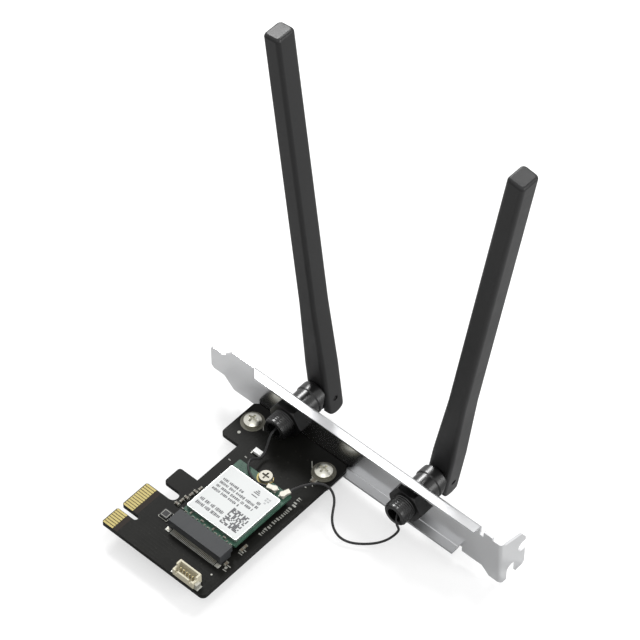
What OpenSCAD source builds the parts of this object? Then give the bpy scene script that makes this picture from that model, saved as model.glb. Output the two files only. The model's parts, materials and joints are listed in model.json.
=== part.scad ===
// Expansion card with a radio module, a bent mounting bracket and two folding antennas.
// Millimetres. X runs along the bracket from its tongue to its screw tab, Y points out through
// the bracket, Z is square to the board. The origin is the middle of the edge connector's key,
// at the tips of the contacts and halfway through the board.

/* [Board] */
// Thickness of the circuit board
board_t = 1.57; // [1.2:0.01:2.0]
// From the contact tips to the far long edge
board_depth = 43.2; // [42:0.1:60]
// From the key to the bracket's inner face
key_to_plate = 59.1; // [57:0.1:70]
// From the key to the board's end away from the bracket
board_end = 8.15; // [7.9:0.05:9.5]
// Corner radius of the board
board_corner = 1.8; // [0.5:0.1:3]
// How far the board's main field stands back from the contact tips
field_step = 11.15; // [9.5:0.05:11.6]
// Width of the key slot
key_w = 1.9; // [1.5:0.05:2.1]
// Depth of the key slot
key_depth = 7.65; // [5:0.05:9]
// From the key to the end of the connector tongue on the bracket side
tongue_end = 12.15; // [12:0.05:12.6]
// Width of the relief slot beside the tongue
relief_w = 3.95; // [2:0.05:4.2]
// Depth of the relief slot from the contact tips
relief_depth = 11.4; // [9:0.1:14]
// Width of the retention hook
hook_w = 7.2; // [5:0.1:12]
// How far the hook's tip stands back from the contact tips
hook_tip = 3.6; // [2.5:0.1:6]
// Width of the corner lobe under the left board screw
lobe_w = 16.6; // [14.5:0.1:18.5]
// How far the lobe stands back from the contact tips
lobe_tip = 3.4; // [2:0.1:4.1]

/* [Edge contacts] */
// Spacing of the contacts
contact_pitch = 1; // [1:0.05:1.05]
// Width of one contact
contact_w = 0.76; // [0.4:0.05:0.8]
// Length of one contact
contact_len = 4.1; // [2:0.1:5]
// From the contact tips to the board's edge
contact_setback = 0.3; // [0.1:0.05:1]
// Contacts on the bracket side of the key
contacts_near = 11; // [4:1:11]
// Contacts on the far side of the key
contacts_far = 7; // [2:1:7]
// Thickness of all plated metal
plating_t = 0.05; // [0.03:0.01:0.1]

/* [Bracket] */
// Thickness of the bracket's steel
sheet_t = 0.86; // [0.6:0.01:1.1]
// Inside radius of its bends
bend_r = 0.3; // [0.1:0.05:0.6]
// Width of the plate
plate_w = 18.42; // [17:0.02:20]
// Length of the narrow tongue below the contact tips
tongue_drop = 16.2; // [14:0.1:20]
// Width of the narrow tongue
tongue_w = 10.19; // [8:0.01:12]
// Corner cut at the tongue's tip
tongue_cut = 1.05; // [0.3:0.05:2]
// Where the plate reaches its full width, from the contact tips
shoulder_x = -6.5; // [-8:0.1:-3]
// From the contact tips to the outer face of the screw tab
tab_x = 104.4; // [101:0.02:115]
// How deep the two lips are
lip_depth = 3; // [2.2:0.1:4]
// Where the lips begin
lip_start = 2.8; // [1:0.1:4]
// Length of the lower lip
lower_lip_len = 85; // [70:0.5:92]
// Length of the upper lip
upper_lip_len = 93; // [70:0.5:96]
// Width of the relief cut at the end of each lip
lip_relief_w = 1.5; // [0.8:0.1:3]
// Width of each ear under the board
ear_w = 9; // [8:0.1:12]
// How far the ears reach under the board
ear_reach = 8.2; // [7:0.1:10]

/* [Screw tab] */
// How far the tab stands out from the plate
tab_reach = 11.3; // [10.6:0.1:14]
// How far the tab drops past the plate's low edge
tab_drop = 4.35; // [3.6:0.05:7]
// Width of the screw slot
slot_w = 4.42; // [3.6:0.02:5]
// From the plate's outer face to the middle of the screw slot
slot_out = 4.9; // [4.6:0.05:5.4]
// Width of the guide notch at the tab's edge
notch_w = 4.2; // [3:0.1:5]
// Depth of the guide notch
notch_depth = 3.4; // [2.2:0.1:3.8]
// Height of the guide notch's middle above the board's middle
notch_z = 3.79; // [3:0.05:5]

/* [Board screws] */
// From the contact tips to the first screw
screw_a_x = 8.15; // [7.6:0.05:10]
// From the contact tips to the second screw
screw_b_x = 38.5; // [36:0.1:39.2]
// From the bracket's inner face to the screws
screw_in = 7; // [6:0.1:8]
// Diameter of the thread
thread_d = 3; // [2:0.1:3.4]
// Diameter of the head
head_d = 5.8; // [4.5:0.1:6.5]
// Height of the head
head_h = 2; // [1.2:0.1:2.6]
// Length of the shank
shank_len = 4.4; // [3:0.1:6]
// Diameter of the plated pad around each screw
pad_d = 8; // [7:0.1:8.2]

/* [Radio module] */
// Width of the module's board
module_w = 22; // [21:0.1:23.5]
// Length of the module's board
module_len = 30; // [29:0.1:34]
// Thickness of the module's board
module_t = 0.8; // [0.6:0.05:1]
// Width of the module's plugged end
module_tongue_w = 19.85; // [19:0.05:20.4]
// Length of the module's narrower plugged end
module_tongue_len = 4; // [3.4:0.1:4.5]
// From the contact tips to the module's near side
module_x = 17; // [16.5:0.1:18]
// From the key to the module's plugged end
module_y = 6.7; // [5.2:0.1:7]
// Gap between the two boards
module_lift = 2.28; // [1.8:0.02:2.8]
// Size of the square shield can
can_w = 20.8; // [18:0.1:21]
// Height of the shield can
can_h = 1.35; // [1:0.05:2]
// From the module's free end to the can
can_back = 4.1; // [2.6:0.1:4.4]
// Side margin of the can on the module
can_side = 0.4; // [0.1:0.05:0.6]
// Margin of the label on the can
label_margin = 0.3; // [0.1:0.05:1]

/* [Module socket] */
// Width of the socket
socket_w = 21.9; // [21.4:0.1:26]
// Depth of the socket's body
socket_depth = 5.6; // [4.8:0.1:6]
// Height of the socket
socket_h = 4.2; // [4:0.05:5]
// How deep the module sits in it
plug_depth = 2.9; // [2.2:0.1:3.2]
// Pitch of its contacts
pin_pitch = 0.5; // [0.5:0.01:0.55]
// Contacts in one row
pins = 37; // [20:1:37]

/* [Pin header] */
// Poles of the header
header_poles = 5; // [3:1:5]
// Pitch of the poles
header_pitch = 1.25; // [1:0.05:1.4]
// Depth of the header
header_d = 3.9; // [3.2:0.1:4.1]
// Height of the header's back wall
header_h = 3.9; // [3:0.1:6]
// Wall of the header
header_wall = 0.6; // [0.4:0.05:0.8]
// From the board's long edge to the header's free ear
header_in = 3.3; // [2:0.1:8]

/* [Antennas] */
// From the contact tips to the first antenna
antenna_x = 19.2; // [18.6:0.1:20]
// Spacing of the two antennas
antenna_pitch = 50; // [48:0.5:60]
// Outside diameter of the threaded bushing
bushing_d = 8.5; // [8:0.05:8.8]
// Bore of the bushing
bushing_bore = 5; // [4.5:0.05:5.4]
// How far the bushing reaches in past the plate
bushing_reach = 9; // [7.5:0.1:10]
// Diameter of the bushing's flange and of the swivel base
base_d = 10.3; // [9.4:0.1:10.6]
// Thickness of the bushing's flange
flange_t = 1.4; // [1:0.1:2]
// From the flange to the scoop in the swivel base that clears the blade's legs
base_h = 5.6; // [5.4:0.1:7]
// Length of the swivel base's slimmer neck
neck_len = 4.6; // [3:0.1:4.6]
// How far that neck stands in from the base's collar
neck_in = 0.4; // [0.2:0.05:0.8]
// Size of the hexagon nut across its flats
nut_af = 11.6; // [10:0.1:12.4]
// Thickness of the hexagon nut
nut_t = 4; // [3:0.1:6]
// Gap between the swivel base and the folding blade's legs
fold_gap = 0.9; // [0.3:0.05:1.5]
// Length of a blade from its hinge to its tip
blade_len = 152.3; // [120:0.1:160]
// Reach of the blade's legs past the hinge
leg_reach = 6.2; // [5:0.1:6.5]
// How far the hinge pin sits behind the swivel's axis, away from the blade's tip
pivot_drop = 2.75; // [0:0.05:3]
// Width of the blade at the hinge
blade_w = 8.6; // [8:0.1:9.5]
// Width of the blade past its flare
blade_mid_w = 6.7; // [5.5:0.1:9]
// Width of the blade at its tip
blade_tip_w = 6.3; // [4:0.1:8]
// Thickness of the blade
blade_t = 7.7; // [5.2:0.1:8]
// Radius of the blade's long edges
blade_edge = 1.4; // [0.5:0.1:2]
// Where the blade's flare starts, from its hinge
flare_from = 14; // [10:0.5:20]
// Where the blade's flare ends, from its hinge
flare_to = 42; // [25:0.5:60]
// Bevel around the blade's tip
tip_bevel = 0.55; // [0.2:0.05:1.2]
// Width of the swivel base's tongue between the legs
tongue_t = 4.6; // [3.6:0.1:5]
// Diameter of the hinge pin
pin_d = 2; // [1.4:0.05:2.4]
// Lean of the first antenna along the bracket, in degrees
lean_a = -6.25; // [-12:0.05:5]
// Lean of the second antenna along the bracket, in degrees
lean_b = 8.2; // [-5:0.05:12]
// Fold of the first antenna out from the bracket, in degrees
fold_a = -0.65; // [-0.9:0.05:20]
// Fold of the second antenna out from the bracket, in degrees
fold_b = 0.55; // [-0.9:0.05:20]

/* [Clearances] */
// Gap around a shaft that turns
run_gap = 0.05; // [0.02:0.01:0.1]
// Gap around a thread
thread_gap = 0.05; // [0.03:0.01:0.1]
// Gap of a screw or bushing in a plain hole
hole_gap = 0.15; // [0.1:0.05:0.25]
// Gap beside a piece that slides or plugs in
side_gap = 0.1; // [0.05:0.05:0.2]
// Gap between the board's edge and the bend of the bracket's lip
edge_gap = 0.05; // [0.03:0.01:0.2]

/* [Cables] */
// Diameter of the antenna cables
cable_d = 0.81; // [0.8:0.01:1.3]

/* [Hidden] */
$fn = 48;
eps = 0.01;
board_top = board_t / 2;
plate_in = key_to_plate;
plate_out = plate_in + sheet_t;
plate_lo = -board_t / 2 - sheet_t;
plate_hi = plate_lo + plate_w;
plate_mid = (plate_lo + plate_hi) / 2;
bend_out = bend_r + sheet_t;
board_edge = plate_in - bend_r - edge_gap;
lip_edge = plate_in - lip_depth;
screw_y = plate_in - screw_in;
screw_xs = [screw_a_x, screw_b_x];
tab_lo = plate_lo - tab_drop;
tab_in = tab_x - sheet_t;
tab_edge = plate_out + tab_reach;
slot_y = plate_out + slot_out;
slot_end = plate_lo + 1.35;
lower_lip_end = lip_start + lower_lip_len;
upper_lip_end = lip_start + upper_lip_len;
hook_y = tongue_end + relief_w;
module_z = board_top + module_lift;
module_top = module_z + module_t;
module_mid = module_x + module_w / 2;
module_end = module_y + module_len;
can_x = module_x + can_side;
can_y = module_end - can_back - can_w;
can_top = module_top + can_h;
stand_d = 5;
screw_top_d = 4.8;
socket_x = module_mid - socket_w / 2;
socket_y = module_y + plug_depth - socket_depth;
socket_top = board_top + socket_h;
key_e_x = module_mid - 2.6;
key_a_x = module_mid + 6.6;
header_len = (header_poles - 1) * header_pitch + 3.6;
header_ear = 1.1;
header_x = board_depth - header_in - header_ear - header_len;
header_y = -board_end + 0.15;
antenna_xs = [antenna_x, antenna_x + antenna_pitch];
base_y = plate_out + flange_t + side_gap;
hinge_y = base_y + base_h + fold_gap + leg_reach;
stem_d = bushing_bore - 2 * run_gap;
stem_end = plate_in - bushing_reach + 2.9;
cable_bore = cable_d + 0.7;
leans = [lean_a, lean_b];
folds = [fold_a, fold_b];
gap_w = tongue_t + 2 * side_gap;
hinge_r = blade_t / 2;
leg_round = hinge_r + 0.5;
tongue_gap = 0.3;
collar_y = hinge_y - hinge_r - 0.25;
jack_w = 2;
jack_z = module_top + 0.35;
jack_xs = [module_x + module_w - 5.6, module_x + module_w - 2.2];
jack_y = module_end - 1.85;
cable_r = cable_d / 2;

// A rectangle from one corner to the other with four round corners.
module round_box(a, b, r) {
    translate([a[0] + r, a[1]])
        square([b[0] - a[0] - 2 * r, b[1] - a[1]]);
    translate([a[0], a[1] + r])
        square([b[0] - a[0], b[1] - a[1] - 2 * r]);
    for (x = [a[0] + r, b[0] - r], y = [a[1] + r, b[1] - r])
        translate([x, y])
            circle(r);
}

// A rectangle at the origin with only that corner rounded.
module heel(a, b, r) {
    translate([r, 0])
        square([a - r, b]);
    translate([0, r])
        square([a, b - r]);
    intersection() {
        translate([r, r])
            circle(r);
        square([a, b]);
    }
}

// Section of a sheet bent square, with legs a and b and its outer corner at the origin.
module bent_strip(a, b) {
    difference() {
        heel(a, b, bend_out);
        translate([sheet_t, sheet_t])
            heel(a, b, bend_r);
    }
}

// A slot open past its mouth, running from x = -1 to a round end at depth d.
module open_slot(w, d) {
    translate([-1, -w / 2])
        square([d - w / 2 + 1, w]);
    translate([d - w / 2, 0])
        circle(d = w);
}

// A round bar along Y from y0 to y1 on an antenna's axis.
module along_y(r, y0, y1) {
    translate([0, y1, 0])
        rotate([90, 0, 0])
            cylinder(r = r, h = y1 - y0);
}

// A ring, or a profile [radius, y] turned about the Y axis.
module turned(profile) {
    rotate([-90, 0, 0])
        rotate_extrude()
            polygon(profile);
}

// Cross recess for a screwdriver, cut down from z = 0.
module cross_recess(span, arm, depth) {
    for (turn = [0, 90])
        rotate([0, 0, turn])
            translate([-span / 2, -arm / 2, -depth])
                cube([span, arm, depth + 1]);
    translate([0, 0, -depth * 1.25])
        cylinder(d = arm * 1.5, h = depth);
}

// Cables: a tube along a smooth curve through chosen points

function unit(v) = v / norm(v);

// A point on the Catmull-Rom curve between the second and third of four points.
function curve(p, t) = 0.5 * (2 * p[1] + (p[2] - p[0]) * t
    + (2 * p[0] - 5 * p[1] + 4 * p[2] - p[3]) * t * t
    + (3 * p[1] - p[0] - 3 * p[2] + p[3]) * t * t * t);

function smooth(route, steps) = let (last = len(route) - 1)
    concat([for (i = [0 : last - 1], s = [0 : steps - 1])
        curve([route[max(i - 1, 0)], route[i], route[i + 1], route[min(i + 2, last)]],
            s / steps)], [route[last]]);

function heading(line, i) = unit(line[min(i + 1, len(line) - 1)] - line[max(i - 1, 0)]);

// Carries a side vector along the line, kept square to it, so that the tube doesn't twist.
function carried(line) = [for (i = 0, side = unit(cross(heading(line, 0), [0.3, 0.2, 1]));
    i < len(line);
    i = i + 1,
    side = i < len(line) ? unit(side - (side * heading(line, i)) * heading(line, i)) : side)
    side];

module tube(route, r, steps = 4, sides = 10) {
    line = smooth(route, steps);
    across = carried(line);
    rings = [for (i = [0 : len(line) - 1], k = [0 : sides - 1])
        let (u = across[i], v = cross(heading(line, i), u), a = 360 * k / sides)
        line[i] + r * (cos(a) * u + sin(a) * v)];
    last = len(line) - 1;
    polyhedron(rings, concat(
        [[for (k = [0 : sides - 1]) k]],
        [for (i = [0 : last - 1], k = [0 : sides - 1])
            [i * sides + k, (i + 1) * sides + k,
             (i + 1) * sides + (k + 1) % sides, i * sides + (k + 1) % sides]],
        [[for (k = [sides - 1 : -1 : 0]) last * sides + k]]));
}

// Board

module board_outline() {
    difference() {
        union() {
            round_box([field_step, -board_end], [board_depth, board_edge], board_corner);
            translate([0, -board_end])
                square([field_step + board_corner, board_end + tongue_end]);
            translate([relief_depth - relief_w / 2, tongue_end - eps])
                square([relief_w, relief_w + 2 * eps]);
            round_box([hook_tip, hook_y], [field_step + 5, hook_y + hook_w], 1.1);
            round_box([lobe_tip, board_edge - lobe_w], [field_step + 5, board_edge], 1.6);
        }
        open_slot(key_w, key_depth);
        translate([0, tongue_end + relief_w / 2])
            open_slot(relief_w, relief_depth);
        for (y = [-board_end, -key_w / 2, key_w / 2, tongue_end])
            translate([0, y])
                rotate(45)
                    square(0.7, center = true);
        for (x = screw_xs)
            translate([x, screw_y])
                circle(d = thread_d + 2 * hole_gap);
    }
}

module circuit_board() {
    color("#1c1c18")
        translate([0, 0, -board_t / 2])
            linear_extrude(board_t)
                board_outline();
}

contact_ys = concat([for (i = [0 : contacts_near - 1]) key_w / 2 + 0.55 + i * contact_pitch],
    [for (i = [0 : contacts_far - 1]) -key_w / 2 - 0.55 - i * contact_pitch]);

module edge_contacts() {
    color("#c9b068")
        for (y = contact_ys, z = [board_top, -board_top - plating_t])
            translate([contact_setback, y - contact_w / 2, z])
                cube([contact_len, contact_w, plating_t]);
}

module screw_pads() {
    color("#a9a591")
        for (x = screw_xs)
            translate([x, screw_y, board_top])
                difference() {
                    cylinder(d = min(pad_d, 2 * (x - lobe_tip) - 0.4, 2 * (board_depth - x) - 0.4),
                        h = plating_t);
                    translate([0, 0, -1])
                        cylinder(d = thread_d + 2 * hole_gap, h = 2);
                }
}

module board_screw(x) {
    color("#b3b2ab")
        translate([x, screw_y, board_top + plating_t])
            difference() {
                union() {
                    intersection() {
                        cylinder(d = head_d, h = head_h);
                        translate([0, 0, head_h - head_d * 0.78])
                            sphere(r = head_d * 0.78);
                    }
                    translate([0, 0, -shank_len])
                        cylinder(d = thread_d - 2 * thread_gap, h = shank_len + 0.1);
                }
                translate([0, 0, head_h])
                    cross_recess(head_d * 0.56, 0.75, head_h * 0.55);
            }
}

module left_board_screw() { board_screw(screw_a_x); }

module right_board_screw() { board_screw(screw_b_x); }

// Bracket

// Outline of the flat plate, [x, z], without its lips.
module plate_outline() {
    half_tip = tongue_w / 2 - tongue_cut;
    shoulder = (plate_w - tongue_w) / 2;
    polygon([
        [-tongue_drop, plate_mid - half_tip],
        [-tongue_drop + tongue_cut, plate_mid - tongue_w / 2],
        [shoulder_x - shoulder, plate_mid - tongue_w / 2],
        [shoulder_x, plate_lo],
        [lip_start - eps, plate_lo],
        [lip_start - eps, plate_lo + bend_out],
        [lower_lip_end, plate_lo + bend_out],
        [lower_lip_end, plate_lo + 2.1],
        [lower_lip_end + lip_relief_w, plate_lo + 2.1],
        [lower_lip_end + lip_relief_w, plate_lo],
        [tab_in - 6.2, plate_lo],
        [tab_in - 3.2, tab_lo + 1.5],
        [tab_x, tab_lo + 1.5],
        [tab_x, plate_hi - 2.7],
        [tab_in - 2.7, plate_hi - 2.7],
        [tab_in - 2.7, plate_hi - 1.7],
        [upper_lip_end + lip_relief_w, plate_hi - 1.7],
        [upper_lip_end + lip_relief_w, plate_hi - 4],
        [upper_lip_end, plate_hi - 4],
        [upper_lip_end, plate_hi - bend_out],
        [lip_start - eps, plate_hi - bend_out],
        [lip_start - eps, plate_hi],
        [shoulder_x, plate_hi],
        [shoulder_x - shoulder, plate_mid + tongue_w / 2],
        [-tongue_drop + tongue_cut, plate_mid + tongue_w / 2],
        [-tongue_drop, plate_mid + half_tip]
    ]);
}

// Outline of the screw tab, [y, z].
module tab_outline() {
    top = plate_hi - 3;
    difference() {
        intersection() {
            polygon([
                [plate_in - 1, top], [plate_out + 0.5, top - 0.8],
                [tab_edge - 1.9, top - 3.4], [tab_edge, top - 6.5],
                [tab_edge, tab_lo - 1], [plate_out + 1, tab_lo - 1],
                [plate_out + 1, tab_lo], [plate_in - 1, tab_lo + 2.2]
            ]);
            round_box([plate_in - 10, tab_lo], [tab_edge, plate_hi + 5], 1.5);
        }
        translate([tab_edge, notch_z])
            rotate(180)
                open_slot(notch_w, notch_depth);
        translate([slot_y, tab_lo])
            rotate(90)
                open_slot(slot_w, slot_end - tab_lo);
    }
}

module lip(from, to, mitre) {
    difference() {
        translate([from, plate_out, plate_lo])
            rotate([90, 0, 90])
                mirror([1, 0, 0])
                    linear_extrude(to - from)
                        bent_strip(lip_depth + sheet_t, bend_out + eps);
        // the lip's end is cut back at 45 degrees
        translate([from, plate_in, plate_lo - 1])
            rotate([0, 0, 45])
                mirror([1, 0, 0])
                    translate([0, -10, 0])
                        cube([mitre * 4, 10, sheet_t + 1 + bend_r]);
    }
}

module ear(x) {
    translate([0, 0, plate_lo])
        linear_extrude(sheet_t)
            round_box([x - ear_w / 2, lip_edge - ear_reach], [x + ear_w / 2, lip_edge + 2], 1.2);
}

module bracket() {
    color("#a3a5a8")
        difference() {
            union() {
                // plate and tab, one sheet bent at the corner
                intersection() {
                    translate([tab_x, plate_in, plate_lo - 20])
                        mirror([1, 0, 0])
                            linear_extrude(plate_w + 40)
                                bent_strip(tab_x + tongue_drop + 5, tab_reach + sheet_t + 5);
                    union() {
                        translate([0, plate_out + 1, 0])
                            rotate([90, 0, 0])
                                linear_extrude(sheet_t + 2)
                                    plate_outline();
                        translate([tab_in - 0.4, 0, 0])
                            rotate([90, 0, 90])
                                linear_extrude(sheet_t + 1)
                                    tab_outline();
                    }
                }
                lip(lip_start, lower_lip_end, 1);
                translate([0, 0, plate_lo + plate_hi])
                    mirror([0, 0, 1])
                        lip(lip_start, upper_lip_end, 1);
                for (x = screw_xs)
                    ear(x);
            }
            for (x = screw_xs)
                translate([x, screw_y, plate_lo - 1])
                    cylinder(d = thread_d, h = sheet_t + 2);
            for (x = antenna_xs)
                translate([x, 0, plate_mid])
                    along_y(bushing_d / 2 + hole_gap, plate_in - 1, plate_out + 1);
        }
}

// Radio module and its socket

module module_outline() {
    difference() {
        union() {
            round_box([module_x, module_y + module_tongue_len],
                [module_x + module_w, module_end], 0.5);
            translate([module_mid - module_tongue_w / 2, module_y])
                square([module_tongue_w, module_tongue_len + 1]);
        }
        translate([module_mid, module_end])
            circle(d = 3.5);
        for (x = [key_e_x, key_a_x])
            translate([x, module_y])
                rotate(90)
                    open_slot(1.2, 3.5);
    }
}

module module_board() {
    color("#2f4a3a")
        translate([0, 0, module_z])
            linear_extrude(module_t)
                module_outline();
}

pin_xs = [for (i = [0 : pins - 1]) module_mid + (i - (pins - 1) / 2) * pin_pitch];
module_pin_xs = [for (x = pin_xs) if (abs(x - key_e_x) > 0.95 && abs(x - key_a_x) > 0.95) x];

module module_contacts() {
    color("#c9b068")
        for (x = module_pin_xs, z = [module_top, module_z - plating_t])
            translate([x - 0.175, module_y + 0.3, z])
                cube([0.35, 2, plating_t]);
    // the plated half ring under the module's screw
    color("#c2bfb2")
        translate([module_mid, module_end, module_top])
            intersection() {
                difference() {
                    cylinder(d = screw_top_d + 1, h = plating_t);
                    translate([0, 0, -1])
                        cylinder(d = 3.5, h = 2);
                }
                translate([-screw_top_d, -screw_top_d, -1])
                    cube([2 * screw_top_d, screw_top_d, 2]);
            }
}

module shield_can() {
    color("#b9bbbb")
        translate([0, 0, module_top])
            difference() {
                linear_extrude(can_h)
                    round_box([can_x, can_y], [can_x + can_w, can_y + can_w], 0.6);
                translate([0, 0, -1])
                    linear_extrude(can_h + 1 - 0.2)
                        round_box([can_x + 0.2, can_y + 0.2],
                            [can_x + can_w - 0.2, can_y + can_w - 0.2], 0.4);
            }
}

module module_label() {
    color("#e9ebea")
        translate([0, 0, can_top])
            linear_extrude(0.1)
                round_box([can_x + label_margin, can_y + label_margin],
                    [can_x + can_w - label_margin, can_y + can_w - label_margin], 0.5);
}

// One surface-mounted chip with its two metal ends, lying along X or turned to lie along Y.
module chip(at, size, turn = 0) {
    translate(at)
        rotate([0, 0, turn])
            translate([-size[0] / 2, -size[1] / 2, 0])
                cube(size);
}

module module_parts() {
    strip_y = socket_y + socket_depth;
    room = can_y - strip_y;
    color("#8d8f86") {
        for (i = [0 : 12])
            chip([module_x + 1.6 + i * (module_w - 3.2) / 12,
                strip_y + room * (i % 3 == 1 ? 0.66 : 0.36), module_top],
                i % 3 == 1 ? [1, 0.5, 0.5] : [0.6, 0.3, 0.3], i % 2 * 90);
        // the processor under the can
        translate([can_x + 5, can_y + 6, module_top])
            cube([9, 9, can_h - 0.45]);
    }
}

module antenna_jacks() {
    color("#c6c2b4")
        for (x = jack_xs)
            translate([x, jack_y, module_top]) {
                translate([-jack_w / 2, -jack_w / 2, 0])
                    cube([jack_w, jack_w, 0.35]);
                difference() {
                    translate([0, 0, 0.35 - eps])
                        cylinder(d = 1.5, h = 0.3 + eps);
                    translate([0, 0, 0.36])
                        cylinder(d = 1.1, h = 1);
                }
            }
}

// Round cap pressed over a jack, with the crimp that holds the cable.
module plug(x, turn) {
    color("#cfcabb")
        translate([x, jack_y, jack_z])
            rotate([0, 0, turn])
                difference() {
                    union() {
                        cylinder(d = 2.1, h = 0.9);
                        translate([0, -0.85, 0])
                            cube([2.6, 1.7, 0.9]);
                    }
                    translate([0, 0, -1])
                        cylinder(d = 1.5 + 2 * run_gap, h = 1.4);
                }
}

module left_plug() { plug(jack_xs[0], 197); }

module right_plug() { plug(jack_xs[1], 72); }

module socket_housing() {
    color("#3a3d40")
        difference() {
            translate([socket_x, socket_y, board_top])
                cube([socket_w, socket_depth, socket_h]);
            // the mouth that takes the module, with its key rib left standing
            difference() {
                translate([module_mid - module_tongue_w / 2 - side_gap, module_y - side_gap,
                    module_z - 0.35])
                    cube([module_tongue_w + 2 * side_gap, socket_depth, module_t + 0.7]);
                translate([key_e_x - 0.5, module_y - 1, module_z - 2])
                    cube([1, 1.8, module_t + 4]);
            }
            // the lower lip of the mouth is shorter than the upper one
            translate([socket_x - 1, socket_y + socket_depth - 0.8, board_top - 1])
                cube([socket_w + 2, 2, module_lift + 1 - 0.35]);
            // step along the back, over the contact tails
            translate([socket_x + 0.8, socket_y - 1, board_top - 1])
                cube([socket_w - 1.6, 1.35, 2.1]);
        }
}

module socket_contacts() {
    color("#9c9b95")
        for (x = pin_xs)
            translate([x - 0.11, socket_y - 0.75, board_top]) {
                cube([0.22, 1.1, 0.18]);
                translate([0, 0.92, 0])
                    cube([0.22, 0.18, 1]);
            }
}

module socket_tabs() {
    color("#c3c4c0")
        for (x = [socket_x + 0.1, socket_x + socket_w - 1.1])
            translate([x, socket_y - 0.9, board_top])
                cube([1, 0.9, 0.5]);
}

module module_standoff() {
    color("#c0a868")
        difference() {
            union() {
                translate([module_mid, module_end, board_top])
                    cylinder(d = stand_d, h = module_lift);
                translate([module_mid, module_end, module_z - eps])
                    cylinder(d = 3.2, h = module_t * 0.8);
            }
            translate([module_mid, module_end, board_top - 1])
                cylinder(d = 2, h = module_lift + 3);
        }
}

module module_screw() {
    color("#b6b5ae")
        translate([module_mid, module_end, module_top + plating_t])
            difference() {
                union() {
                    cylinder(d1 = screw_top_d, d2 = screw_top_d - 0.5, h = 1);
                    translate([0, 0, -2.2])
                        cylinder(d = 2 - 2 * thread_gap, h = 2.3);
                }
                translate([0, 0, 1])
                    cross_recess(2.7, 0.6, 0.6);
            }
}

// Pin header

module header_housing() {
    low = header_h * 0.72;
    color("#e6e0cc")
        translate([header_x, header_y, board_top])
            difference() {
                cube([header_len, header_d, header_h]);
                translate([header_wall, header_wall, 0.9])
                    cube([header_len - 2 * header_wall, header_d - 2 * header_wall, header_h]);
                // the front wall is lower, and cut for the plug's two ribs
                translate([-1, -1, low])
                    cube([header_len + 2, header_d - header_wall - 0.5, header_h]);
                for (x = [header_wall + 0.5, header_len - header_wall - 1.3])
                    translate([x, -1, 1.6])
                        cube([0.8, header_wall + 1.5, header_h]);
            }
}

module header_pins() {
    color("#8f8657")
        for (i = [0 : header_poles - 1])
            translate([header_x + 1.8 + i * header_pitch - 0.15, header_y, board_top]) {
                translate([0, header_d / 2 - 0.15, 0.9])
                    cube([0.3, 0.3, header_h * 0.5]);
                translate([0, header_d, 0])
                    cube([0.3, 0.8, 0.2]);
            }
}

module header_tabs() {
    color("#ddd7c4")
        for (x = [header_x - 0.6, header_x + header_len])
            translate([x, header_y + 0.5, board_top])
                cube([x < header_x ? 0.6 : header_ear, 1.9, x < header_x ? 0.8 : header_h * 0.55]);
}

// Small parts on the board

module chip_parts() {
    near = field_step + 1.7;
    color("#8a8778") {
        for (i = [0 : 5])
            chip([near + 0.3 * i, tongue_end + 0.2 + i * 1.8, board_top],
                [1.6, 0.8, 0.7], i % 2 * 90);
        for (y = [module_y - 1, module_y + 6, module_y + 7.6])
            chip([socket_x + socket_w + 0.9, y, board_top], [1.6, 0.8, 0.6], 90);
        // one larger part between the module and the second screw's pad
        chip([screw_b_x + 0.2, screw_y - pad_d / 2 - 0.95, board_top], [2, 1.4, 0.9]);
    }
}

module regulator_chip() {
    color("#2b2b2a")
        translate([field_step + 0.6, tongue_end - 6.7, board_top])
            cube([3, 3, 0.9]);
}

module indicator_led() {
    color("#eef0ec")
        translate([module_x - 0.5, screw_y - 9.1, board_top])
            cube([3, 1.8, 1]);
}

// Antennas

module bushing(x) {
    tip = plate_in - bushing_reach;
    r = bushing_d / 2;
    color("#232323")
        translate([x, 0, plate_mid])
            difference() {
                turned([
                    [0, tip], [r - 0.4, tip], [r, tip + 0.4], [r, plate_out],
                    [base_d / 2, plate_out], [base_d / 2, plate_out + flange_t], [0, plate_out + flange_t]
                ]);
                along_y(bushing_bore / 2, tip - 1, plate_out + flange_t + 1);
            }
}

module left_bushing() { bushing(antenna_xs[0]); }

module right_bushing() { bushing(antenna_xs[1]); }

module nut(x) {
    color("#1f1f1f")
        translate([x, plate_in, plate_mid])
            rotate([90, 0, 0])
                difference() {
                    intersection() {
                        cylinder(d = nut_af / cos(30), h = nut_t, $fn = 6);
                        // the corners are chamfered on the face away from the plate
                        cylinder(d1 = nut_af / cos(30) + 2 * nut_t, d2 = nut_af + 0.6, h = nut_t);
                    }
                    translate([0, 0, -1])
                        cylinder(d = bushing_d + 2 * thread_gap, h = nut_t + 2);
                }
}

module left_nut() { nut(antenna_xs[0]); }

module right_nut() { nut(antenna_xs[1]); }

// Places a piece on antenna i, turned to its lean about the Y axis.
module leaned(i) {
    translate([antenna_xs[i], 0, plate_mid])
        rotate([0, leans[i], 0])
            children();
}

// Places a piece on antenna i's hinge, turned to its lean and fold, with Z along the blade.
module folded(i) {
    leaned(i)
        translate([0, hinge_y, -pivot_drop])
            rotate([-folds[i], 0, 0])
                children();
}

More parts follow.
